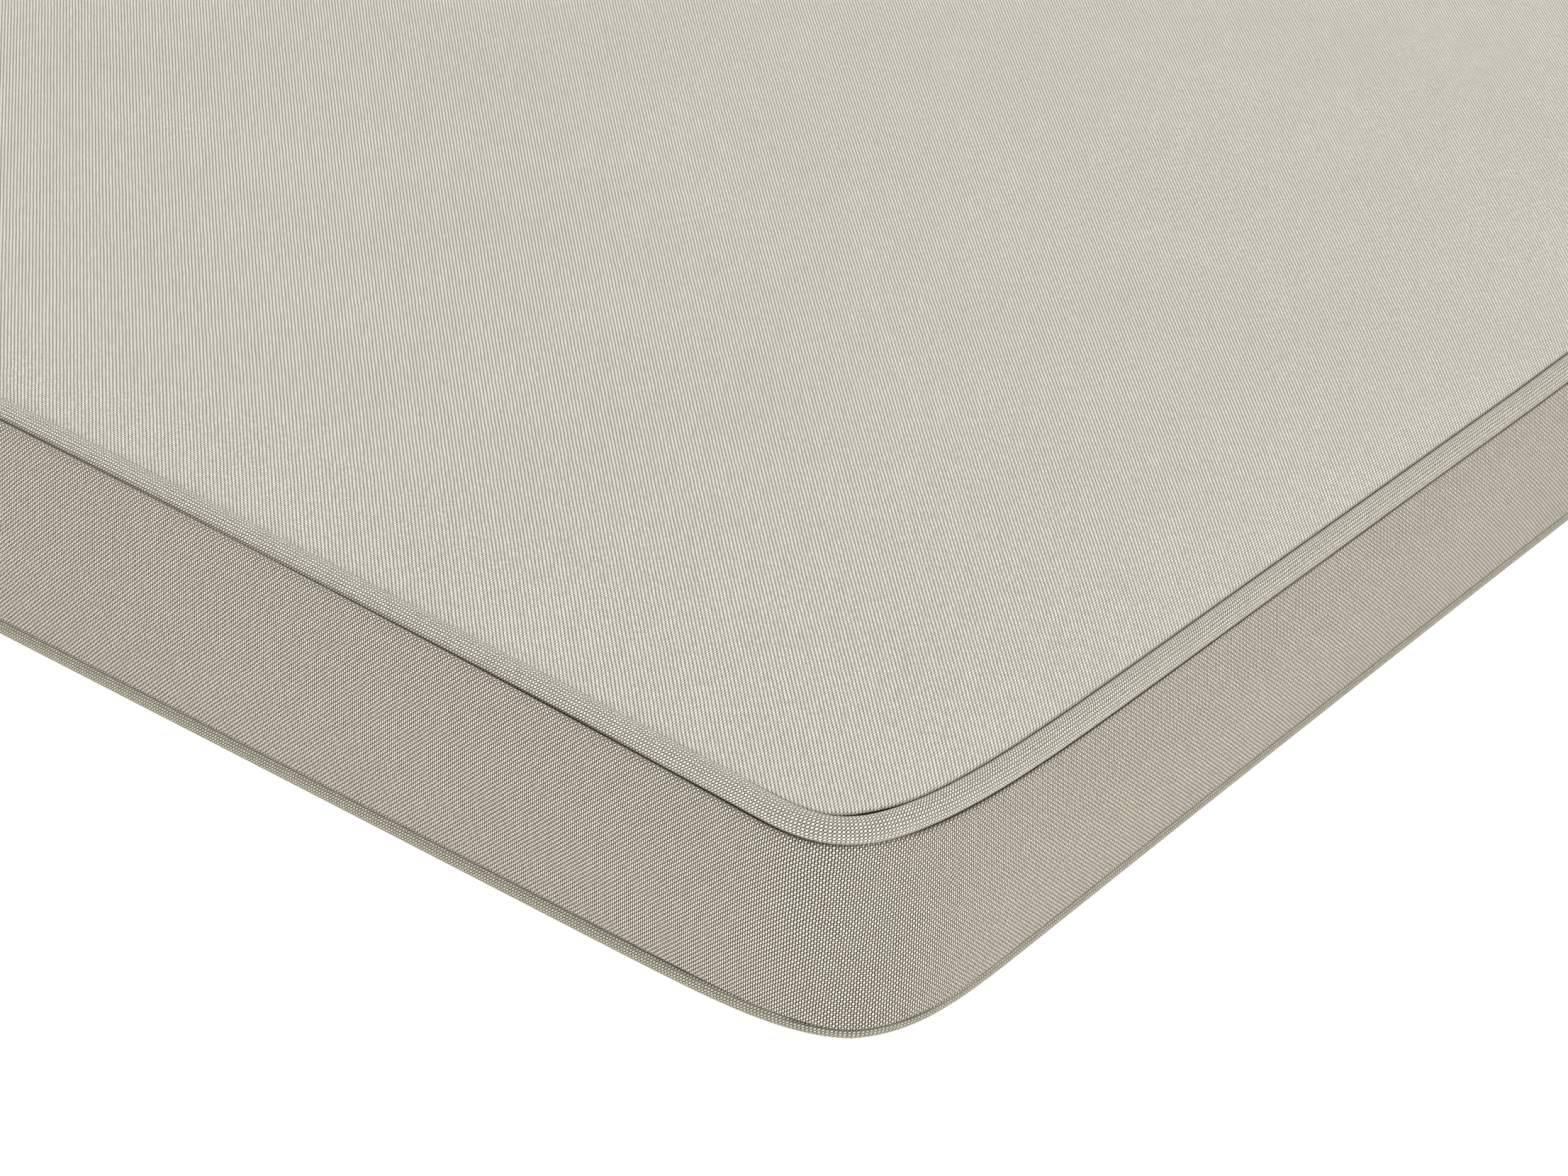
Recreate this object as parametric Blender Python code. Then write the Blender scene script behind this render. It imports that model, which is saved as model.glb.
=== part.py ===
"""Boxed bench cushion, lying flat, in metres with +Z up and its origin under its middle.

A filled body is wrapped by the side band, a top and a bottom panel lie on it, and a round piping sits in
each of the two seams. The corners are squarish curves, the top seam rises along the long sides and dips
along the short ones, the sides pull in between the corners, and the top is crowned.
"""

import math

import bmesh
import bpy

# Driving dimensions
LENGTH = 1.200  # seam to seam along X
DEPTH = 0.500  # seam to seam along Y
CORNER_RADIUS = 0.0455  # length of the corner curve along each side
CORNER_EXPONENT = 3.56  # 2 is a round corner, more is squarer
CORNER_SEAM_HEIGHT = 0.0472  # middle of the top piping, at the corners
PIPING_RADIUS = 0.0028
PANEL_THICKNESS = 0.0012
GAP = 0.0003  # between pieces that touch

# How the filling shapes the cover
LONG_SIDE_RISE = 0.0110  # top seam, from the corners to the middle of the long sides
SHORT_SIDE_RISE = -0.0050
RISE_RUN = 0.140
EDGE_ROLL = 0.0040  # the panel's quick rise beside the seam
EDGE_ROLL_RUN = 0.018
BROAD_CROWN = 0.0050
BROAD_CROWN_RUN = 0.120
CORNER_BULGE = 0.0005  # side band, outward between its seams
SIDE_BULGE = 0.0013
LONG_SIDE_DRAW = 0.0030  # sides pulled in between the corners, seen from above
SHORT_SIDE_DRAW = 0.0015

# Section through a seam, about the piping's middle; angles run from outward to up
PIPING_REACH = 0.0009  # the piping's middle, out from the seam line
FLOOR_CLEARANCE = 0.0002
GROOVE_RADIUS = PIPING_RADIUS + 0.00045
BOTTOM_GROOVE_ANGLES = (207.5, 180.0, 146.0, 112.0, 80.0, 52.0, 26.0)
TOP_GROOVE_ANGLES = (354.0, 322.0, 286.0, 250.0, 214.0, 180.0, 163.0)
PANEL_TOP_EDGE_OUT = -0.0012  # outer edge of a panel's outer face, from the seam line
PANEL_BOTTOM_EDGE_OUT = -0.0006

# Grid
CORNER_CELLS = 6
LONG_CELLS = 6
SHORT_CELLS = 4
CELL_GRADING = 1.6  # cells grow towards the middle
BAND_ROWS = 5
PIPING_BEVEL_RESOLUTION = 4

COVER_COLOUR = (0.565, 0.533, 0.463, 1.0)
BAND_COLOUR = (0.520, 0.485, 0.418, 1.0)
PIPING_COLOUR = (0.545, 0.512, 0.445, 1.0)
WEAVE_ROUGHNESS = 0.88

BOTTOM_PIPING_HEIGHT = PIPING_RADIUS + FLOOR_CLEARANCE


def stations(half, inner_cells):
    """Distances of the grid lines from the centre line: graded cells, then even ones round the corner."""
    flat = half - CORNER_RADIUS
    inner = [flat * (1 - (1 - t / inner_cells) ** CELL_GRADING) for t in range(inner_cells)]
    corner = [flat + CORNER_RADIUS * t / CORNER_CELLS for t in range(CORNER_CELLS + 1)]
    return inner + corner


X_LINES = stations(LENGTH / 2, LONG_CELLS)
Y_LINES = stations(DEPTH / 2, SHORT_CELLS)
LAST_X = len(X_LINES) - 1
LAST_Y = len(Y_LINES) - 1


def plan(i, j, offset):
    """Plan place of grid point i, j, counted from the centre, with the outline moved out by offset."""
    x, y = X_LINES[abs(i)], Y_LINES[abs(j)]
    flat_x, flat_y = LENGTH / 2 - CORNER_RADIUS, DEPTH / 2 - CORNER_RADIUS
    u = max(0.0, x - flat_x) / CORNER_RADIUS
    v = max(0.0, y - flat_y) / CORNER_RADIUS
    curve_x = u * (1 - v ** CORNER_EXPONENT / 2) ** (1 / CORNER_EXPONENT)
    curve_y = v * (1 - u ** CORNER_EXPONENT / 2) ** (1 / CORNER_EXPONENT)
    out_x, out_y = curve_x ** (CORNER_EXPONENT - 1), curve_y ** (CORNER_EXPONENT - 1)
    reach = offset * max(u, v) / (math.hypot(out_x, out_y) or 1.0)
    x = min(x, flat_x) + CORNER_RADIUS * curve_x + reach * out_x
    y = min(y, flat_y) + CORNER_RADIUS * curve_y + reach * out_y
    across, along = y / (DEPTH / 2), x / (LENGTH / 2)
    y -= LONG_SIDE_DRAW * (1 - along ** 2) * across
    x -= SHORT_SIDE_DRAW * (1 - across ** 2) * along
    return math.copysign(x, i), math.copysign(y, j)


def from_edges(i, j):
    """Distances of a grid point from the nearer short end and the nearer long side."""
    return LENGTH / 2 - X_LINES[abs(i)], DEPTH / 2 - Y_LINES[abs(j)]


def ease(distance, run):
    return 1 - math.exp(-distance / run)


def seam_height(i, j):
    """Height of the top piping's middle, carried on over the panel."""
    end, side = from_edges(i, j)
    return CORNER_SEAM_HEIGHT + LONG_SIDE_RISE * ease(end, RISE_RUN) + SHORT_SIDE_RISE * ease(side, RISE_RUN)


def crown(i, j):
    """Rise of the top panel over its seam."""
    end, side = from_edges(i, j)
    roll = EDGE_ROLL * ease(end, EDGE_ROLL_RUN) * ease(side, EDGE_ROLL_RUN)
    broad = BROAD_CROWN * ease(end, BROAD_CROWN_RUN) * ease(side, BROAD_CROWN_RUN)
    return roll + broad


def groove_point(centre_height, angle):
    """Outward offset and height of a point of the groove that a piping sits in."""
    turn = math.radians(angle)
    return PIPING_REACH + GROOVE_RADIUS * math.cos(turn), centre_height + GROOVE_RADIUS * math.sin(turn)


def wall_rows(i, j):
    """Section of the body's wall, bottom outline to top outline, as outward offsets and heights."""
    bottom = [groove_point(BOTTOM_PIPING_HEIGHT, angle) for angle in BOTTOM_GROOVE_ANGLES]
    top = [groove_point(seam_height(i, j), angle) for angle in TOP_GROOVE_ANGLES]
    bulge = CORNER_BULGE + SIDE_BULGE * ease(max(from_edges(i, j)), RISE_RUN)
    band = []
    for row in range(1, BAND_ROWS + 1):
        t = row / (BAND_ROWS + 1)
        out = bottom[-1][0] * (1 - t) + top[0][0] * t + bulge * math.sin(math.pi * t)
        band.append((out, bottom[-1][1] * (1 - t) + top[0][1] * t))
    return bottom + band + top


WALL_CELLS = len(BOTTOM_GROOVE_ANGLES) + BAND_ROWS + len(TOP_GROOVE_ANGLES) - 1


def body_point(i, j, k):
    rows = wall_rows(i, j)
    out, height = rows[k]
    if k == WALL_CELLS:
        height += crown(i, j)
    return (*plan(i, j, out), height)


def top_panel_point(i, j, k):
    inner_out, inner_height = wall_rows(i, j)[-1]
    inner_height += GAP + crown(i, j)
    if k == 0:
        return (*plan(i, j, inner_out), inner_height)
    return (*plan(i, j, PANEL_TOP_EDGE_OUT), inner_height + PANEL_THICKNESS)


def bottom_panel_point(i, j, k):
    if k == 0:
        return (*plan(i, j, PANEL_BOTTOM_EDGE_OUT), 0.0)
    return (*plan(i, j, wall_rows(i, j)[0][0]), PANEL_THICKNESS)


def split_level_faces(bm, cell_of):
    """Cuts each face of the upper and lower sides along the diagonal whose cell numbers add up even."""
    for face in list(bm.faces):
        corners = [cell_of[vert] for vert in face.verts]
        if len({k for i, j, k in corners}) > 1:
            continue
        ends = [vert for vert, (i, j, k) in zip(face.verts, corners) if (i + j) % 2 == 0]
        bmesh.utils.face_split(face, *ends)


def shaped_box(name, levels, point_of):
    """A cube primitive cut into the grid's cells, with each of its points moved to its place."""
    bm = bmesh.new()
    bmesh.ops.create_cube(bm, size=2.0)
    counts = (2 * LAST_X, 2 * LAST_Y, levels)
    for axis, cells in enumerate(counts):
        whole = [e for e in bm.edges if abs(e.verts[0].co[axis] - e.verts[1].co[axis]) > 1.0]
        if cells > 1:
            bmesh.ops.subdivide_edges(bm, edges=whole, cuts=cells - 1, use_grid_fill=True)
    cell_of = {}
    for vert in bm.verts:
        i, j, k = (round((vert.co[axis] + 1) / 2 * counts[axis]) for axis in range(3))
        cell_of[vert] = (i - LAST_X, j - LAST_Y, k)
    split_level_faces(bm, cell_of)
    for vert, cell in cell_of.items():
        vert.co = point_of(*cell)
    bmesh.ops.recalc_face_normals(bm, faces=bm.faces[:])
    mesh = bpy.data.meshes.new(name)
    bm.to_mesh(mesh)
    bm.free()
    mesh.shade_smooth()
    mesh.set_sharp_from_angle(angle=math.radians(35))
    return bpy.data.objects.new(name, mesh)


def outline_cells():
    """The grid's outer points, once round."""
    near = [(i, -LAST_Y) for i in range(-LAST_X, LAST_X)]
    right = [(LAST_X, j) for j in range(-LAST_Y, LAST_Y)]
    far = [(i, LAST_Y) for i in range(LAST_X, -LAST_X, -1)]
    left = [(-LAST_X, j) for j in range(LAST_Y, -LAST_Y, -1)]
    return near + right + far + left


def piping_ring(name, height_of):
    """A closed round cord that follows the seam."""
    curve = bpy.data.curves.new(name, 'CURVE')
    curve.dimensions = '3D'
    curve.twist_mode = 'Z_UP'
    curve.bevel_depth = PIPING_RADIUS
    curve.bevel_resolution = PIPING_BEVEL_RESOLUTION
    curve.use_fill_caps = True
    cells = outline_cells()
    spline = curve.splines.new('POLY')
    spline.points.add(len(cells) - 1)
    for point, (i, j) in zip(spline.points, cells):
        point.co = (*plan(i, j, PIPING_REACH), height_of(i, j), 1.0)
    spline.use_cyclic_u = True
    return bpy.data.objects.new(name, curve)


def woven(name, colour):
    material = bpy.data.materials.new(name)
    material.use_nodes = True
    shader = material.node_tree.nodes['Principled BSDF']
    shader.inputs['Base Color'].default_value = colour
    shader.inputs['Roughness'].default_value = WEAVE_ROUGHNESS
    shader.inputs['Metallic'].default_value = 0.0
    material.diffuse_color = colour
    return material


def main():
    for old in list(bpy.data.objects):
        bpy.data.objects.remove(old, do_unlink=True)
    cushion = bpy.data.collections.new('Bench cushion')
    bpy.context.scene.collection.children.link(cushion)
    parts = (
        (shaped_box('cushion_body', WALL_CELLS, body_point), woven('Side band weave', BAND_COLOUR)),
        (shaped_box('top_panel', 1, top_panel_point), woven('Top panel weave', COVER_COLOUR)),
        (shaped_box('bottom_panel', 1, bottom_panel_point), woven('Bottom panel weave', COVER_COLOUR)),
        (piping_ring('top_piping', seam_height), woven('Top piping weave', PIPING_COLOUR)),
        (piping_ring('bottom_piping', lambda i, j: BOTTOM_PIPING_HEIGHT),
         woven('Bottom piping weave', PIPING_COLOUR)),
    )
    for part, material in parts:
        part.data.materials.append(material)
        cushion.objects.link(part)


main()
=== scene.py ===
"""Looks of a boxed bench cushion: crowned cover, side band and two pipings in a plain weave."""

import math

import bmesh
import bpy
import numpy as np
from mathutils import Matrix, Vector


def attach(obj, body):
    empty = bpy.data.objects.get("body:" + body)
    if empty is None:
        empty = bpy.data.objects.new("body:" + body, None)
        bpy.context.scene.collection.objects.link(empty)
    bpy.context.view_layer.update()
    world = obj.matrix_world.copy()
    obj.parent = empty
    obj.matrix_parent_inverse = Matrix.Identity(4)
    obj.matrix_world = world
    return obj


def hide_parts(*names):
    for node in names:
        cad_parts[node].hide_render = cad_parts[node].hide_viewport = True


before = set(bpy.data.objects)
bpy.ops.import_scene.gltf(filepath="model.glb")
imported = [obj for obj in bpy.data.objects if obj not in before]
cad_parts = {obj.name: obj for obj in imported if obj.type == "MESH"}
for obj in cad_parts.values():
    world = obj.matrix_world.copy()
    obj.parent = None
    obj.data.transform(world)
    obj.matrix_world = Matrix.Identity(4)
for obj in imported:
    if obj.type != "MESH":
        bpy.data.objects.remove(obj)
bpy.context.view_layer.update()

# Cushion, seam to seam, in metres
LENGTH, DEPTH = 1.200, 0.500
TOP_CORNER = (0.0313, 0.1003, 4.18)  # the corner curve's length on the long and on the short side, exponent
BOTTOM_CORNER = (0.0890, 0.0793, 6.24)
CORNER_SEAM_HEIGHT = 0.0490  # middle of the top piping, at the corners
LONG_SIDE_RISE, SHORT_SIDE_RISE, RISE_RUN = 0.0114, -0.0059, 0.210
BOTTOM_EAR, BOTTOM_EAR_RUN = 0.0010, 0.010  # how far the lower corners stand out
LONG_SIDE_DRAW, SHORT_SIDE_DRAW = 0.0030, 0.0015  # sides pulled in between the corners
EDGE_ROLL, EDGE_ROLL_RUN = 0.0044, 0.016  # the top panel's quick rise beside the seam
BROAD_CROWN, BROAD_CROWN_RUN = 0.0040, 0.120
CORNER_BULGE, SIDE_BULGE, BULGE_RUN = 0.0005, 0.0013, 0.060  # side band, outward between its seams
PIPING_RADIUS = 0.0028
PIPING_REACH = 0.0009  # the piping's middle, out from the seam line
FLOOR_CLEARANCE = 0.0002
BOTTOM_PIPING_HEIGHT = PIPING_RADIUS + FLOOR_CLEARANCE
PANEL_THICKNESS = 0.0006
BOTTOM_COVER_HEIGHT = 0.0005
COVER_GAP = 0.0003  # between the top panel and the form under it
COVERED_EDGE_INSET = 0.0006  # the form's upper edge, in from the top panel's
UNDERSIDE_LIFT = 0.0002  # the form's underside, inside its outline

# Section of the wall; angles are round the piping's middle from outward to up,
# at the corners, on the long sides and on the short sides
SHOULDER_RADIUS = 0.0009  # the band's rolled edge against the lower piping
UPPER_SHOULDER = (0.0009, 0.0009, 0.0003)  # and against the upper one, by place
ROLL_RADIUS = 0.0007  # the top panel's rolled edge
GROOVE_RADIUS = PIPING_RADIUS + 0.00015
BOTTOM_CONTACT, BOTTOM_CONTACT_RUN = (26.7, 59.2, 50.2), 0.020
TOP_CONTACT, TOP_CONTACT_RUN = (-51.7, 1.8, -9.0), 0.092
PANEL_CONTACT, PANEL_CONTACT_RUN = (152.0, 180.0, 150.0), 0.030
BOTTOM_GROOVE_END = 205.0
BOTTOM_GROOVE_ROWS, TOP_GROOVE_ROWS = 5, 7
SHOULDER_ROWS, BAND_ROWS, ROLL_ROWS = 4, 9, 4

# Shadow in the seams, painted into the cloth's colour, by place; 1 is darkest
CREASE_SHADE = (1.0, 0.85, 0.0)  # under the top piping
PANEL_SHADE = (0.6, 0.0, 0.5)  # behind the top piping
LOWER_SHADE = (1.0, 0.8, 0.6)  # over the lower piping
CREASE_RUN = 0.035
SEAM_EDGE_SHADE = 0.6  # on the band's last row beside the top piping
SHADED_LOWER_ROWS = 3  # the band's first rows, over the lower groove, that lie in the shadow
SEAM_SHADE_RUN = 7.0  # degrees of a piping that darken beside a cloth that meets it
BOTTOM_SHOWN_FROM = 240.0  # the lower piping shows from this angle
BOTTOM_SHOWN = (9.0, 52.0, 37.0)  # to these, a full turn on

# Soft dents of the top panel near each corner: place from the middle, radius, depth
DENTS = ((0.578, 0.2400, 0.007, 0.0009), (0.556, 0.2405, 0.007, 0.0008), (0.591, 0.1620, 0.008, 0.0008),
         (0.590, 0.1300, 0.010, 0.0009), (0.590, 0.0850, 0.012, 0.0009), (0.515, 0.2380, 0.010, 0.0008))

# Grid of the filled form: (length, cells) from the centre line outwards
X_RUNS = ((0.3000, 8), (0.2000, 14), (0.1000, 18))
Y_RUNS = ((0.1400, 12), (0.1100, 20))
SAME_PLACE = 1e-6  # metres, between points that count as one
TINY = 1e-9  # keeps a division from zero

# Grid of a piping
PIPING_SEGMENTS, PIPING_SIDES = 1500, 16
STEPS_PER_CELL = 6
SMOOTH_ANGLE = 50.0

# Filling pressure; the swells are the most that a point may move
SIMULATED_FRAMES, CLOTH_QUALITY = 20, 5
FILLING_PRESSURE = 4.0
STRETCH_STIFFNESS, BENDING_STIFFNESS = 40.0, 2.0
PANEL_SWELL, BAND_SWELL = 0.0030, 0.0008

# Weave: thread pitches in metres, and how many of the band's threads lie in a pitch, by place
PANEL_PITCH = (0.000535, 0.000527)
BAND_PITCH = (0.000521, 0.000540)
PIPING_PITCH = (0.000530, 0.000530)
ROUND_DENSITY, UP_DENSITY, DENSITY_RUN = (1.10, 0.98, 0.88), (1.0, 0.98, 1.07), 0.040

# Thread tones, linear; the lower piping's is the upper piping's cloth, darker and warmer as painted shade
PANEL_TONE, BAND_TONE = (0.90, 0.855, 0.758), (0.95, 0.872, 0.737)
PIPING_TONE, SHADED_PIPING_TONE = (0.97, 0.91, 0.79), (0.74, 0.69, 0.56)
# the weave's low places between the beads, near black as painted shade of its hollows
HOLLOW_SHADE_TONE = (0.020, 0.017, 0.014)

# Form of the beads: the warp's sideways swell, factor and base of the warp's and the weft's height,
# the heights that are darkest and lightest, and the share of the slanting light
PANEL_LOOK = {'swell': 0.154, 'warp': (0.235, 0.53), 'weft': (-0.38, 0.375),
              'range': (-0.05, 0.813), 'slant': 0.185}
PIPING_LOOK = {'swell': 0.12, 'warp': (0.517, 0.668), 'weft': (-0.48, 0.28),
               'range': (0.17, 0.96), 'slant': 0.0}
BAND_LOOK = {'swell': 0.12, 'warp': (0.517, 0.668), 'weft': (-0.539, 0.209),
             'range': (0.27, 1.02), 'slant': -0.098}

# Unevenness of the yarn: noise scale and amount
WARP_WANDER, WEFT_WANDER = (160.0, 0.6), (210.0, 0.5)  # amount in threads
SLUB_SCALE, SLUB_DETAIL, SLUB = 900.0, 1.0, (0.24, 0.88)  # amount and base
MOTTLE_SCALE, MOTTLE_DETAIL, MOTTLE = 22.0, 3.0, (0.07, 0.965)
BEAD_TONE = (0.20, 0.82)
# painted shadow in the seams: the share of the colour taken away where the mark is full
PAINTED_SEAM_SHADOW = -0.97

# Surface of the yarn
ROUGH_LOW, ROUGH_HIGH = 0.95, 0.78  # in the gaps and on the beads
SHEEN, SHEEN_ROUGHNESS, SPECULAR_LEVEL = 0.04, 0.5, 0.10
WEAVE_BUMP, WEAVE_RELIEF = 0.5, 0.00014

# Floor, light and camera
FLOOR_SIZE, FLOOR_HEIGHT = 30.0, -0.0003
FLOOR_TONE, FLOOR_ROUGHNESS, FLOOR_GLOW = 0.85, 0.9, 0.65
WORLD_LIGHT = 0.45
SOFT_BOXES = (  # name, place, side, watts, place that it faces
    ('Overhead box', (0.2, 0.3, 2.2), 2.5, 30.0, (0.3, 0.0, 0.0)),
    ('Front box', (1.75, -1.75, 0.95), 1.2, 9.0, (0.6, -0.25, 0.03)),
    ('Left box', (-0.6, -1.9, 1.3), 1.5, 10.0, (0.3, 0.0, 0.0)),
    ('Right box', (2.3, 0.9, 1.3), 1.5, 14.0, (0.4, 0.0, 0.0)),
)
CAMERA_PLACE = (0.97239716, -0.80341766, 0.51457346)
CAMERA_TURN = (58.5683804, -2.9060348, 37.4463243)  # degrees
CAMERA_LENS, CAMERA_SENSOR = 99.5908, 36.0  # millimetres


def ease(distance, run):
    """0 at no distance, and close to 1 some runs away."""
    return 1 - np.exp(-distance / run)


def stations(runs):
    """Grid lines from edge to edge, as signed distances from the centre line."""
    half = [0.0]
    for length, cells in runs:
        start = half[-1]
        half += [start + length * (n + 1) / cells for n in range(cells)]
    return np.array([-v for v in half[:0:-1]] + half)


X_LINES, Y_LINES = stations(X_RUNS), stations(Y_RUNS)


def plan(x, y, offset, corner=TOP_CORNER):
    """Plan place of grid places x, y, with the outline moved out by offset."""
    along_curve, across_curve, p = corner
    size_x, size_y = np.abs(x), np.abs(y)
    flat_x, flat_y = LENGTH / 2 - along_curve, DEPTH / 2 - across_curve
    u = np.maximum(0.0, size_x - flat_x) / along_curve
    v = np.maximum(0.0, size_y - flat_y) / across_curve
    curve_x = u * (1 - v ** p / 2) ** (1 / p)
    curve_y = v * (1 - u ** p / 2) ** (1 / p)
    out_x, out_y = curve_x ** (p - 1) / along_curve, curve_y ** (p - 1) / across_curve
    reach = offset * np.maximum(u, v) / np.maximum(np.hypot(out_x, out_y), TINY)
    size_x = np.minimum(size_x, flat_x) + along_curve * curve_x + reach * out_x
    size_y = np.minimum(size_y, flat_y) + across_curve * curve_y + reach * out_y
    across, along = size_y / (DEPTH / 2), size_x / (LENGTH / 2)
    size_y = size_y - LONG_SIDE_DRAW * (1 - along ** 2) * across
    size_x = size_x - SHORT_SIDE_DRAW * (1 - across ** 2) * along
    return np.copysign(size_x, x), np.copysign(size_y, y)


def from_edges(x, y):
    """Distances of a grid place from the nearer short end and the nearer long side."""
    return LENGTH / 2 - np.abs(x), DEPTH / 2 - np.abs(y)


def by_place(x, y, values, run):
    """A value that is given at the corners, on the long sides and on the short sides."""
    end, side = from_edges(x, y)
    corner, long_side, short_side = values
    return corner + (long_side - corner) * ease(end, run) + (short_side - corner) * ease(side, run)


def ear(x, y):
    """How far the lower outline stands out, at its corners."""
    return BOTTOM_EAR * np.exp(-np.maximum(*from_edges(x, y)) / BOTTOM_EAR_RUN)


def bottom_piping_height(x, y):
    return BOTTOM_PIPING_HEIGHT + 0 * x


def seam_height(x, y):
    """Height of the top piping's middle, carried on over the panel."""
    end, side = from_edges(x, y)
    return CORNER_SEAM_HEIGHT + LONG_SIDE_RISE * ease(end, RISE_RUN) + SHORT_SIDE_RISE * ease(side, RISE_RUN)


def crown(x, y):
    """Rise of the top panel over its seam, with its dents."""
    end, side = from_edges(x, y)
    roll = EDGE_ROLL * ease(end, EDGE_ROLL_RUN) * ease(side, EDGE_ROLL_RUN)
    height = roll + BROAD_CROWN * ease(end, BROAD_CROWN_RUN) * ease(side, BROAD_CROWN_RUN)
    for dent_x, dent_y, radius, depth in DENTS:
        away = (np.abs(x) - dent_x) ** 2 + (np.abs(y) - dent_y) ** 2
        height = height - depth * np.exp(-away / radius ** 2)
    return height


def arc(middle, radius, start, stop, steps):
    """Points round a middle, as outward offsets and heights, without the first one."""
    turns = [np.radians(start + (stop - start) * n / steps) for n in range(1, steps + 1)]
    return [(middle[0] + radius * np.cos(turn), middle[1] + radius * np.sin(turn)) for turn in turns]


def beside(middle, distance, angle):
    """The point at a distance from a middle, in the direction of an angle in degrees."""
    return middle[0] + distance * np.cos(np.radians(angle)), middle[1] + distance * np.sin(np.radians(angle))


def section(x, y):
    """Rows of the form's wall from the bottom outline to the top one: outward offsets and heights."""
    lower_cord = (PIPING_REACH + 0 * x, BOTTOM_PIPING_HEIGHT + 0 * x)
    upper_cord = (PIPING_REACH + 0 * x, seam_height(x, y))
    low = by_place(x, y, BOTTOM_CONTACT, BOTTOM_CONTACT_RUN)
    high = by_place(x, y, TOP_CONTACT, TOP_CONTACT_RUN)
    panel = by_place(x, y, PANEL_CONTACT, PANEL_CONTACT_RUN)
    low_shoulder = beside(lower_cord, GROOVE_RADIUS + SHOULDER_RADIUS, low)
    edge = by_place(x, y, UPPER_SHOULDER, CREASE_RUN)
    high_shoulder = beside(upper_cord, GROOVE_RADIUS + edge, high)
    roll = beside(upper_cord, GROOVE_RADIUS + ROLL_RADIUS, panel)
    lower = [beside(lower_cord, GROOVE_RADIUS, BOTTOM_GROOVE_END + 0 * x)]
    lower += arc(lower_cord, GROOVE_RADIUS, BOTTOM_GROOVE_END, low, BOTTOM_GROOVE_ROWS)
    lower += arc(low_shoulder, SHOULDER_RADIUS, low - 180, 0, SHOULDER_ROWS)
    upper = [beside(high_shoulder, edge, 0 * x)]
    upper += arc(high_shoulder, edge, 0, high + 180, SHOULDER_ROWS)
    upper += arc(upper_cord, GROOVE_RADIUS, high + 360, panel, TOP_GROOVE_ROWS)
    upper += arc(roll, ROLL_RADIUS, panel - 180, 90, ROLL_ROWS)
    bulge = CORNER_BULGE + SIDE_BULGE * ease(np.maximum(*from_edges(x, y)), BULGE_RUN)
    band = []
    for row in range(1, BAND_ROWS + 1):
        t = row / (BAND_ROWS + 1)
        band.append((lower[-1][0] * (1 - t) + upper[0][0] * t + bulge * math.sin(math.pi * t),
                     lower[-1][1] * (1 - t) + upper[0][1] * t))
    return np.array(lower + band + upper)


BAND_START = BOTTOM_GROOVE_ROWS + SHOULDER_ROWS  # row numbers
BAND_END = BAND_START + BAND_ROWS + 1
ROLL_START = BAND_END + SHOULDER_ROWS + TOP_GROOVE_ROWS
WALL_CELLS = ROLL_START + ROLL_ROWS
COUNTS = (len(X_LINES) - 1, len(Y_LINES) - 1, WALL_CELLS)


def factors(number):
    """The number's prime factors, each small enough for one subdivide."""
    found, n = [], 2
    while number > 1:
        while number % n == 0:
            found.append(n)
            number //= n
        n += 1
    return found


def cut_cube(name):
    """A cube primitive cut into the form's cells, with the cell numbers of its points."""
    bpy.ops.object.select_all(action='DESELECT')
    bpy.ops.mesh.primitive_cube_add(size=2.0)
    form = bpy.context.object
    form.name = form.data.name = name
    bpy.ops.object.mode_set(mode='EDIT')
    bpy.ops.mesh.select_mode(type='EDGE')
    for axis, cells in enumerate(COUNTS):
        for cuts in factors(cells):
            bm = bmesh.from_edit_mesh(form.data)
            for edge in bm.edges:
                a, b = (v.co for v in edge.verts)
                spans = [abs(a[n] - b[n]) for n in range(3)]
                along = spans.pop(axis)
                edge.select = along > SAME_PLACE and max(spans) < SAME_PLACE
            bmesh.update_edit_mesh(form.data)
            bpy.ops.mesh.subdivide(number_cuts=cuts - 1)
    bpy.ops.object.mode_set(mode='OBJECT')
    co = points(form)
    return form, np.rint((co + 1) / 2 * np.array(COUNTS)).astype(int)


def points(piece):
    co = np.zeros(len(piece.data.vertices) * 3, np.float32)
    piece.data.vertices.foreach_get('co', co)
    return co.reshape(-1, 3).astype(float)


def place(piece, co):
    piece.data.vertices.foreach_set('co', np.ascontiguousarray(co, np.float32).ravel())
    piece.data.update()


def band_share(k):
    """0 at the band's lower edge and below, 1 at its upper edge and above."""
    return np.clip((k - BAND_START) / (BAND_END - BAND_START), 0.0, 1.0)


def shaped(cells):
    """Places of the form's points, their length up the wall and their places on the flat top panel."""
    i, j, k = cells.T
    each = np.arange(len(k))
    x, y = X_LINES[i], Y_LINES[j]
    rows = section(x, y)
    outs, heights = rows[k, 0, each], rows[k, 1, each]
    heights = heights + np.where(k == WALL_CELLS, crown(x, y), 0.0)
    steps = np.hypot(np.diff(rows[:, 0], axis=0), np.diff(rows[:, 1], axis=0))
    climbs = np.vstack([np.zeros(len(k)), np.cumsum(steps, axis=0)])
    climb = climbs[k, each] - climbs[BAND_START] + rows[BAND_START, 1]
    share = band_share(k)
    low_x, low_y = plan(x, y, outs + ear(x, y), BOTTOM_CORNER)
    high_x, high_y = plan(x, y, outs)
    co = np.stack([low_x * (1 - share) + high_x * share, low_y * (1 - share) + high_y * share, heights], 1)
    beyond = np.where(k >= ROLL_START, climbs[WALL_CELLS] - climbs[k, each], 0.0)
    flat = np.stack(plan(x, y, rows[WALL_CELLS, 0] + beyond), 1)
    return co, climb, flat


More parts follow.
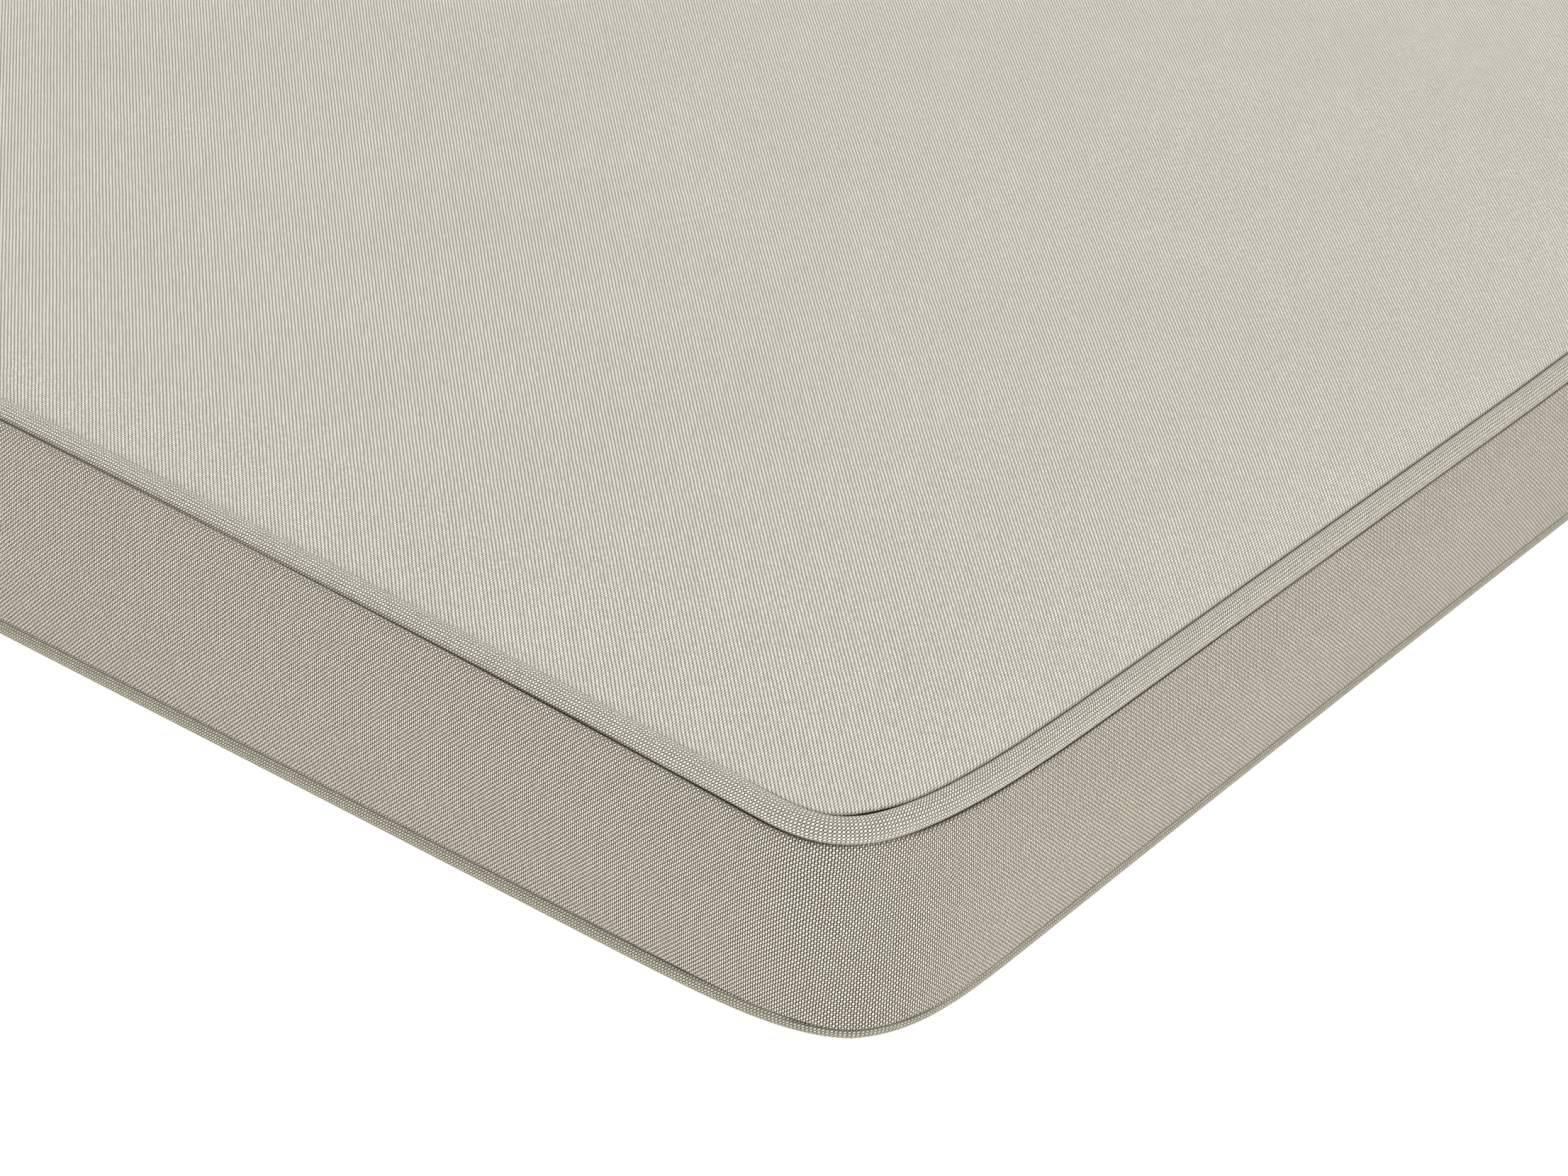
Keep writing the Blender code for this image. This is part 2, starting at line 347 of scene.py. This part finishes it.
def outline_numbers(cells):
    """Number of each outer point round the outline, counted from the near left corner, and -1 inside."""
    i, j, _ = cells.T
    nx, ny, _ = COUNTS
    number = np.full(len(i), -1)
    number = np.where((i == 0) & (j > 0), 2 * nx + 2 * ny - j, number)
    number = np.where(j == ny, 2 * nx + ny - i, number)
    number = np.where(i == nx, nx + j, number)
    return np.where(j == 0, i, number)


def outline_cells():
    """The grid's outer points, once round in the same order."""
    nx, ny, _ = COUNTS
    near = [(i, 0) for i in range(nx)]
    right = [(nx, j) for j in range(ny)]
    far = [(i, ny) for i in range(nx, 0, -1)]
    left = [(0, j) for j in range(ny, 0, -1)]
    return np.array(near + right + far + left)


def run_lengths(x, y, z=0.0):
    """Running length round a closed line, with the whole length last."""
    px, py, pz = (np.append(v, v[0]) for v in (x, y, z + 0 * x))
    return np.append(0.0, np.cumsum(np.sqrt(np.diff(px) ** 2 + np.diff(py) ** 2 + np.diff(pz) ** 2)))


def even_scale(total, pitch):
    """Stretch that fits an even number of threads into the whole length."""
    return 2 * round(total / pitch / 2) * pitch / total


def thread_map(piece):
    """A new UV map for the threads, in the place of all others."""
    layer = piece.data.uv_layers
    while layer:
        layer.remove(layer[0])
    return layer.new(name='threads')


def loop_indices(mesh):
    index = np.zeros(len(mesh.loops), np.int32)
    mesh.loops.foreach_get('vertex_index', index)
    return index


def mark(piece, name, values):
    piece.data.attributes.new(name, 'FLOAT', 'POINT').data.foreach_set('value', values.astype(np.float32))


def round_lengths():
    """Running lengths round the lower and the upper outline, equal at the middle of the near side."""
    ring = outline_cells()
    x, y = X_LINES[ring[:, 0]], Y_LINES[ring[:, 1]]
    density = by_place(x, y, ROUND_DENSITY, DENSITY_RUN)
    density = (density + np.roll(density, -1)) / 2

    def threads(line):
        return np.append(0.0, np.cumsum(np.diff(run_lengths(*line)) * density))

    lower, upper = threads(plan(x, y, 0.0, BOTTOM_CORNER)), threads(plan(x, y, 0.0))
    middle = COUNTS[0] // 2
    lower = upper[middle] + (lower - lower[middle]) * upper[-1] / lower[-1]
    scale = even_scale(upper[-1], BAND_PITCH[0])
    return lower * scale, upper * scale


def band_threads(form, cells, climb):
    """Thread map of the form in metres: round the wall and up it, and flat over the panels."""
    lower, upper = round_lengths()
    number = outline_numbers(cells)
    mesh = form.data
    index = loop_indices(mesh)
    starts = np.zeros(len(mesh.polygons), np.int32)
    totals = np.zeros(len(mesh.polygons), np.int32)
    mesh.polygons.foreach_get('loop_start', starts)
    mesh.polygons.foreach_get('loop_total', totals)

    def spread(values):
        """The lowest and the highest value among the corners of each loop's face."""
        low, high = np.minimum.reduceat(values, starts), np.maximum.reduceat(values, starts)
        return np.repeat(low, totals), np.repeat(high, totals)

    k, n = cells[index, 2], number[index]
    lowest, highest = spread(k)
    first, last = spread(n)
    n = np.where((first == 0) & (last == len(lower) - 2) & (n == 0), len(lower) - 1, n)
    share = band_share(k)
    along = lower[n] * (1 - share) + upper[n] * share
    up = climb * by_place(X_LINES[cells[:, 0]], Y_LINES[cells[:, 1]], UP_DENSITY, DENSITY_RUN)
    level = (lowest == highest)[:, None]
    co = points(form)[index]
    uv = np.where(level, co[:, :2], np.stack([along, up[index]], 1))
    thread_map(form).data.foreach_set('uv', uv.astype(np.float32).ravel())


def panel_threads(piece, flat):
    """Thread map of a panel in metres, from its points' places on the flat cloth."""
    thread_map(piece).data.foreach_set('uv', flat[loop_indices(piece.data)].astype(np.float32).ravel())


def seam_shade(cells):
    """Painted shadow on the form's points: none on the band, by place in the seams and under the panels."""
    x, y, k = X_LINES[cells[:, 0]], Y_LINES[cells[:, 1]], cells[:, 2]
    last_row = BAND_END + SHOULDER_ROWS
    # full painted shadow in the lower groove and above the band, part of it on the band's last row
    painted_seam_shade = np.where((k < BOTTOM_GROOVE_ROWS + SHADED_LOWER_ROWS) | (k > last_row), 1.0, 0.0)
    painted_seam_shade[k == last_row] = SEAM_EDGE_SHADE
    crease = by_place(x, y, CREASE_SHADE, CREASE_RUN)
    low_crease = by_place(x, y, LOWER_SHADE, CREASE_RUN)
    return painted_seam_shade * np.where(k > BAND_END, crease, low_crease)


def select_only(piece):
    bpy.ops.object.select_all(action='DESELECT')
    piece.select_set(True)
    bpy.context.view_layer.objects.active = piece


def apply_all(piece):
    select_only(piece)
    for modifier in list(piece.modifiers):
        bpy.ops.object.modifier_apply(modifier=modifier.name)


def inflate(form, cells):
    """Fills the cover with a little pressure while its seams and its underside are held."""
    number = outline_numbers(cells)
    k = cells[:, 2]
    on_band = (k > BAND_START) & (k < BAND_END)
    free = ((number < 0) & (k == WALL_CELLS)) | ((number >= 0) & on_band)
    held = form.vertex_groups.new(name='held')
    held.add([int(n) for n in np.flatnonzero(~free)], 1.0, 'REPLACE')
    before = points(form)
    cloth = form.modifiers.new('Filling pressure', 'CLOTH')
    cloth.settings.vertex_group_mass = 'held'
    cloth.settings.use_pressure = True
    cloth.settings.uniform_pressure_force = FILLING_PRESSURE
    cloth.settings.effector_weights.gravity = 0.0
    cloth.settings.quality = CLOTH_QUALITY
    cloth.settings.tension_stiffness = STRETCH_STIFFNESS
    cloth.settings.compression_stiffness = STRETCH_STIFFNESS
    cloth.settings.bending_stiffness = BENDING_STIFFNESS
    cloth.point_cache.frame_start, cloth.point_cache.frame_end = 1, SIMULATED_FRAMES
    for frame_number in range(1, SIMULATED_FRAMES + 1):
        bpy.context.scene.frame_set(frame_number)
    apply_all(form)
    bpy.context.scene.frame_set(1)
    form.vertex_groups.clear()
    moved = points(form) - before
    for area, most in ((k == WALL_CELLS, PANEL_SWELL), (k < WALL_CELLS, BAND_SWELL)):
        size = np.linalg.norm(moved[area], axis=1)
        moved[area] *= min(1.0, most / max(float(size.max()), TINY))
    place(form, before + moved)


def lifted_panel(form, kept, name):
    """The form's faces between the kept points as a sheet of their own."""
    select_only(form)
    bpy.ops.object.duplicate()
    piece = bpy.context.object
    piece.name = piece.data.name = name
    bpy.ops.object.mode_set(mode='EDIT')
    bpy.ops.mesh.select_mode(type='VERT')
    bm = bmesh.from_edit_mesh(piece.data)
    for vert, keep in zip(bm.verts, kept):
        vert.select = not keep
    bm.select_flush(True)
    bmesh.update_edit_mesh(piece.data)
    bpy.ops.mesh.delete(type='VERT')
    bpy.ops.object.mode_set(mode='OBJECT')
    return piece


def thicken(cover):
    """Gives a panel its cloth's thickness, inwards."""
    thick = cover.modifiers.new('Cloth thickness', 'SOLIDIFY')
    thick.thickness, thick.offset = PANEL_THICKNESS, -1.0
    apply_all(cover)


def clear_of_panels(form, cells):
    """Lowers the form under the top panel, and lifts its underside a little inside the outline."""
    x, y, k = X_LINES[cells[:, 0]], Y_LINES[cells[:, 1]], cells[:, 2]
    outer = outline_numbers(cells) >= 0
    lowering = PANEL_THICKNESS + COVER_GAP
    rows = section(x, y)
    co = points(form)
    co[k == WALL_CELLS, 2] -= lowering
    edge, inner = rows[ROLL_START], rows[WALL_CELLS] - np.array([[COVERED_EDGE_INSET], [lowering]])
    for row in range(ROLL_START, WALL_CELLS + 1):
        share = (row - ROLL_START) / ROLL_ROWS
        out, height = edge * (1 - share) + inner * share
        px, py = plan(x, y, out)
        here = (k == row) & outer
        co[here] = np.stack([px, py, height], 1)[here]
    co[(k == 0) & ~outer, 2] += UNDERSIDE_LIFT
    place(form, co)


def subdivided(piece):
    modifier = piece.modifiers.new('Fine surface', 'SUBSURF')
    modifier.levels = modifier.render_levels = 1
    apply_all(piece)


def smooth_shading(piece):
    select_only(piece)
    bpy.ops.object.shade_smooth_by_angle(angle=math.radians(SMOOTH_ANGLE))


def top_reach(x, y):
    return PIPING_REACH + 0 * x


def bottom_reach(x, y):
    return PIPING_REACH + ear(x, y)


def top_shown(x, y):
    """Angles between which the top piping shows, and how dark its painted shadow is beyond the first and the
    second.
    """
    return (360 + by_place(x, y, TOP_CONTACT, TOP_CONTACT_RUN),
            360 + by_place(x, y, PANEL_CONTACT, PANEL_CONTACT_RUN),
            by_place(x, y, CREASE_SHADE, CREASE_RUN),
            by_place(x, y, PANEL_SHADE, CREASE_RUN))


def bottom_shown(x, y):
    """The same for the bottom piping, whose painted shadow is full towards the floor."""
    return (BOTTOM_SHOWN_FROM + 0 * x,
            360 + by_place(x, y, BOTTOM_SHOWN, BOTTOM_CONTACT_RUN),
            1 + 0 * x,
            by_place(x, y, LOWER_SHADE, CREASE_RUN))


def seam_lines():
    """Grid places along the whole seam, several to a cell."""
    ring = outline_cells()
    lines_x, lines_y = [], []
    for a, b in zip(ring, np.roll(ring, -1, axis=0)):
        for n in range(STEPS_PER_CELL):
            t = n / STEPS_PER_CELL
            lines_x.append(X_LINES[a[0]] * (1 - t) + X_LINES[b[0]] * t)
            lines_y.append(Y_LINES[a[1]] * (1 - t) + Y_LINES[b[1]] * t)
    return np.array(lines_x), np.array(lines_y)


def piping(name, height_of, reach_of, corner, shown):
    """A grid primitive rolled into a tube along the seam and closed."""
    bpy.ops.object.select_all(action='DESELECT')
    bpy.ops.mesh.primitive_grid_add(x_subdivisions=PIPING_SEGMENTS, y_subdivisions=PIPING_SIDES, size=1.0)
    piece = bpy.context.object
    piece.name = piece.data.name = name
    co = points(piece)
    share, turn = co[:, 0] + 0.5, co[:, 1] + 0.5
    lines_x, lines_y = seam_lines()
    path_x, path_y = plan(lines_x, lines_y, reach_of(lines_x, lines_y), corner)
    path_z = height_of(lines_x, lines_y)
    lengths = run_lengths(path_x, path_y, path_z)
    at = lengths[-1] * np.arange(PIPING_SEGMENTS) / PIPING_SEGMENTS
    by_line = (path_x, path_y, path_z, *shown(lines_x, lines_y))
    px, py, pz, shown_from, shown_to, painted_shade_from, painted_shade_to = (
        np.interp(at, lengths, np.append(v, v[0])) for v in by_line)
    along = np.stack([np.roll(px, -1) - np.roll(px, 1), np.roll(py, -1) - np.roll(py, 1)], 1)
    along /= np.linalg.norm(along, axis=1)[:, None]
    station = np.mod(np.rint(share * PIPING_SEGMENTS).astype(int), PIPING_SEGMENTS)
    around = math.pi + 2 * math.pi * turn
    co[:, 0] = px[station] + PIPING_RADIUS * np.cos(around) * along[station, 1]
    co[:, 1] = py[station] - PIPING_RADIUS * np.cos(around) * along[station, 0]
    co[:, 2] = pz[station] + PIPING_RADIUS * np.sin(around)
    place(piece, co)
    angle = np.degrees(around)  # 180 to 540, from inward down, outward and up again
    # painted shadow on the piping beside the cloths that meet it
    below = np.clip((shown_from[station] - angle) / SEAM_SHADE_RUN + 1, 0.0, 1.0) * painted_shade_from[station]
    above = np.clip((angle - shown_to[station]) / SEAM_SHADE_RUN + 1, 0.0, 1.0) * painted_shade_to[station]
    mark(piece, 'painted_seam_shade', np.maximum(below, above))
    piping_threads(piece, share, turn, lengths[-1])
    bpy.ops.object.mode_set(mode='EDIT')
    bpy.ops.mesh.select_all(action='SELECT')
    bpy.ops.mesh.remove_doubles(threshold=SAME_PLACE)
    bpy.ops.mesh.normals_make_consistent(inside=False)
    bpy.ops.object.mode_set(mode='OBJECT')
    smooth_shading(piece)
    return piece


def piping_threads(piece, share, turn, length):
    """Thread map of a piping, whose cloth is cut on the bias."""
    girth, bias_pitch = 2 * math.pi * PIPING_RADIUS, PIPING_PITCH[0] * math.sqrt(2)
    index = loop_indices(piece.data)
    run = share[index] * length * even_scale(length, bias_pitch)
    rise = turn[index] * girth * even_scale(girth, bias_pitch)
    uv = np.stack([run - rise, run + rise], 1) / math.sqrt(2)
    thread_map(piece).data.foreach_set('uv', uv.astype(np.float32).ravel())


class Nodes:
    """A small writer of shader node trees."""

    def __init__(self, material):
        self.tree = material.node_tree

    def node(self, kind, **values):
        made = self.tree.nodes.new(kind)
        for key, value in values.items():
            setattr(made, key, value)
        return made

    def put(self, socket, value):
        """Links a socket's value, or sets a constant one."""
        if isinstance(value, bpy.types.NodeSocket):
            self.tree.links.new(value, socket)
        else:
            socket.default_value = value

    def math(self, operation, *values):
        made = self.node('ShaderNodeMath', operation=operation)
        for socket, value in zip(made.inputs, values):
            self.put(socket, value)
        return made.outputs[0]

    def noise(self, vector, scale, detail=2.0):
        made = self.node('ShaderNodeTexNoise')
        self.put(made.inputs['Vector'], vector)
        made.inputs['Scale'].default_value = scale
        made.inputs['Detail'].default_value = detail
        return made.outputs['Fac']

    def ramp(self, value, low, high, to_low=0.0, to_high=1.0, smooth=True):
        made = self.node('ShaderNodeMapRange', interpolation_type='SMOOTHSTEP' if smooth else 'LINEAR')
        for socket, v in zip(made.inputs, (value, low, high, to_low, to_high)):
            self.put(socket, v)
        return made.outputs[0]


def thread_places(n, uv, pitch, swell_size):
    """Places across the warp and the weft, counted in threads, and the numbers of both threads."""
    split = n.node('ShaderNodeSeparateXYZ')
    n.put(split.inputs[0], uv)
    (warp_scale, warp_amount), (weft_scale, weft_amount) = WARP_WANDER, WEFT_WANDER
    wander = n.math('MULTIPLY', n.math('SUBTRACT', n.noise(uv, warp_scale), 0.5), warp_amount)
    wander_b = n.math('MULTIPLY', n.math('SUBTRACT', n.noise(uv, weft_scale), 0.5), weft_amount)
    a = n.math('ADD', n.math('DIVIDE', split.outputs[0], pitch[0]), wander)
    b = n.math('ADD', n.math('DIVIDE', split.outputs[1], pitch[1]), wander_b)
    sin_b = n.math('SINE', n.math('MULTIPLY', b, math.pi))
    cos_a = n.math('COSINE', n.math('MULTIPLY', a, math.pi))
    swell = n.math('MULTIPLY', n.math('MULTIPLY', sin_b, cos_a), swell_size)
    a_wavy = n.math('ADD', a, swell)
    return a_wavy, b, n.math('FLOOR', a_wavy), n.math('FLOOR', b)


def bead_heights(n, a, b, i, j, look):
    """Height of the cloth, and the same with a slanting light's share."""
    x = n.math('SUBTRACT', n.math('SUBTRACT', a, i), 0.5)
    y = n.math('SUBTRACT', n.math('SUBTRACT', b, j), 0.5)
    round_x = n.math('COSINE', n.math('MULTIPLY', x, math.pi))
    round_y = n.math('COSINE', n.math('MULTIPLY', y, math.pi))
    over = n.math('COSINE', n.math('MULTIPLY', n.math('ADD', n.math('SUBTRACT', b, 0.5), i), math.pi))
    under = n.math('COSINE', n.math('MULTIPLY', n.math('ADD', n.math('SUBTRACT', a, 0.5), j), math.pi))
    warp = n.math('MULTIPLY', round_x, n.math('MULTIPLY_ADD', over, *look['warp']))
    weft = n.math('MULTIPLY', round_y, n.math('MULTIPLY_ADD', under, *look['weft']))
    height = n.math('MAXIMUM', warp, weft)
    slant = n.math('COSINE', n.math('MULTIPLY', n.math('ADD', a, b), math.pi))
    return height, n.math('MULTIPLY_ADD', slant, -look['slant'], height)


def bead_light(n, uv, seen, i, j, lit_range):
    """Lightness of the beads, lower in the weave's hollows as painted shade, with each bead's own tone and
    the yarn's slubs, and the cloth's mottle.
    """
    each_bead = n.node('ShaderNodeTexWhiteNoise', noise_dimensions='2D')
    pair = n.node('ShaderNodeCombineXYZ')
    n.put(pair.inputs[0], i)
    n.put(pair.inputs[1], j)
    n.put(each_bead.inputs['Vector'], pair.outputs[0])
    slub = n.noise(uv, SLUB_SCALE, SLUB_DETAIL)
    mottle = n.noise(uv, MOTTLE_SCALE, MOTTLE_DETAIL)
    lit = n.ramp(seen, *lit_range)
    lit = n.math('MULTIPLY', lit, n.math('MULTIPLY_ADD', each_bead.outputs['Value'], *BEAD_TONE))
    lit = n.math('MULTIPLY', lit, n.math('MULTIPLY_ADD', slub, *SLUB))
    return lit, mottle


def yarn_colour(n, lit, mottle, light):
    """Colour of the cloth from the painted shade of the gaps to the beads, darker with painted shadow in the
    seams.
    """
    mix = n.node('ShaderNodeMix', data_type='RGBA')
    n.put(mix.inputs['Factor'], lit)
    # painted shade in the hollows between the beads
    mix.inputs[6].default_value = (*HOLLOW_SHADE_TONE, 1.0)
    mix.inputs[7].default_value = (*light, 1.0)
    shade = n.node('ShaderNodeMix', data_type='RGBA', blend_type='MULTIPLY')
    shade.inputs['Factor'].default_value = 1.0
    n.put(shade.inputs[6], mix.outputs[2])
    # painted seam shadow, read from the points' attribute
    painted_seam_shade = n.node('ShaderNodeAttribute', attribute_name='painted_seam_shade').outputs['Fac']
    mottled = n.math('MULTIPLY_ADD', mottle, *MOTTLE)
    darkened = n.math('MULTIPLY_ADD', painted_seam_shade, PAINTED_SEAM_SHADOW, 1.0)
    mottle_and_seam_shadow = n.math('MULTIPLY', mottled, darkened)
    tint = n.node('ShaderNodeCombineColor')
    for socket in tint.inputs[:3]:
        n.put(socket, mottle_and_seam_shadow)
    n.put(shade.inputs[7], tint.outputs[0])
    return shade.outputs[2]


def plain_weave(name, pitch, light, look):
    """A plain weave on the thread map: beads of the covering threads, necks where the others cross."""
    material = bpy.data.materials.new(name)
    material.use_nodes = True
    n = Nodes(material)
    shader = n.tree.nodes['Principled BSDF']
    uv = n.node('ShaderNodeUVMap', uv_map='threads').outputs[0]
    a, b, i, j = thread_places(n, uv, pitch, look['swell'])
    height, seen = bead_heights(n, a, b, i, j, look)
    lit, mottle = bead_light(n, uv, seen, i, j, look['range'])
    n.put(shader.inputs['Base Color'], yarn_colour(n, lit, mottle, light))
    n.put(shader.inputs['Roughness'], n.ramp(height, 0.0, 1.0, ROUGH_LOW, ROUGH_HIGH, False))
    shader.inputs['Sheen Weight'].default_value = SHEEN
    shader.inputs['Sheen Roughness'].default_value = SHEEN_ROUGHNESS
    shader.inputs['Specular IOR Level'].default_value = SPECULAR_LEVEL
    relief = n.node('ShaderNodeBump')
    relief.inputs['Strength'].default_value = WEAVE_BUMP
    relief.inputs['Distance'].default_value = WEAVE_RELIEF
    n.put(relief.inputs['Height'], height)
    n.put(shader.inputs['Normal'], relief.outputs[0])
    return material


def dress(piece, material, node):
    piece.data.materials.clear()
    piece.data.materials.append(material)
    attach(piece, "root")
    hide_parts(node)


def white_table():
    material = bpy.data.materials.new('White table')
    material.use_nodes = True
    shader = material.node_tree.nodes['Principled BSDF']
    shader.inputs['Base Color'].default_value = (FLOOR_TONE, FLOOR_TONE, FLOOR_TONE, 1.0)
    shader.inputs['Roughness'].default_value = FLOOR_ROUGHNESS
    shader.inputs['Emission Color'].default_value = (1.0, 1.0, 1.0, 1.0)
    shader.inputs['Emission Strength'].default_value = FLOOR_GLOW
    return material


def soft_box(name, place_at, size, power, target):
    """A square area light that faces its target."""
    lamp = bpy.data.lights.new(name, 'AREA')
    lamp.shape, lamp.size, lamp.energy = 'SQUARE', size, power
    holder = bpy.data.objects.new(name, lamp)
    bpy.context.scene.collection.objects.link(holder)
    holder.location = place_at
    holder.rotation_euler = (Vector(target) - Vector(place_at)).to_track_quat('-Z', 'Y').to_euler()


# The filled form: wall, upper and lower side in one closed mesh
form, cells = cut_cube('filled_band')
co, climb, flat = shaped(cells)
place(form, co)
band_threads(form, cells, climb)
mark(form, 'painted_seam_shade', seam_shade(cells))
inflate(form, cells)

# The two panels, lifted from the form
on_top, on_bottom = cells[:, 2] >= ROLL_START, cells[:, 2] == 0
top = lifted_panel(form, on_top, 'top_cover')
bottom = lifted_panel(form, on_bottom, 'bottom_cover')
for cover, kept in ((top, on_top), (bottom, on_bottom)):
    panel_threads(cover, flat[kept])
    cover.data.attributes['painted_seam_shade'].data.foreach_set('value', np.zeros(kept.sum(), np.float32))
under = points(bottom)
under[:, 2] = BOTTOM_COVER_HEIGHT
place(bottom, under)
for cover in (top, bottom):
    thicken(cover)

clear_of_panels(form, cells)
for piece in (form, top):
    subdivided(piece)
for piece in (form, top, bottom):
    smooth_shading(piece)

upper_piping = piping('top_piping_cover', seam_height, top_reach, TOP_CORNER, top_shown)
lower_piping = piping('bottom_piping_cover', bottom_piping_height, bottom_reach, BOTTOM_CORNER, bottom_shown)

panel_weave = plain_weave('Panel weave', PANEL_PITCH, PANEL_TONE, PANEL_LOOK)
band_weave = plain_weave('Band weave', BAND_PITCH, BAND_TONE, BAND_LOOK)
piping_weave = plain_weave('Piping weave', PIPING_PITCH, PIPING_TONE, PIPING_LOOK)
# the upper piping's weave, darker and warmer as painted shade near the floor
shaded_piping_weave = plain_weave('Piping weave in painted shade', PIPING_PITCH, SHADED_PIPING_TONE, PIPING_LOOK)

dress(form, band_weave, 'cushion_body')
dress(top, panel_weave, 'top_panel')
dress(bottom, panel_weave, 'bottom_panel')
dress(upper_piping, piping_weave, 'top_piping')
dress(lower_piping, shaded_piping_weave, 'bottom_piping')

# Floor
bpy.ops.object.select_all(action='DESELECT')
bpy.ops.mesh.primitive_plane_add(size=FLOOR_SIZE, location=(0, 0, FLOOR_HEIGHT))
floor = bpy.context.object
floor.name = 'floor'
floor.data.materials.append(white_table())

# Light
world = bpy.data.worlds.new('Studio')
bpy.context.scene.world = world
world.use_nodes = True
world.node_tree.nodes['Background'].inputs['Color'].default_value = (1.0, 1.0, 1.0, 1.0)
world.node_tree.nodes['Background'].inputs['Strength'].default_value = WORLD_LIGHT
for box in SOFT_BOXES:
    soft_box(*box)

# Camera, fitted to the photo's seams
camera = bpy.data.objects.new('Camera', bpy.data.cameras.new('Camera'))
bpy.context.scene.collection.objects.link(camera)
camera.location = CAMERA_PLACE
camera.rotation_euler = [math.radians(v) for v in CAMERA_TURN]
camera.data.lens = CAMERA_LENS
camera.data.sensor_width = CAMERA_SENSOR
bpy.context.scene.camera = camera

view_settings = bpy.context.scene.view_settings
view_settings.view_transform = 'Standard'
view_settings.look = 'None'
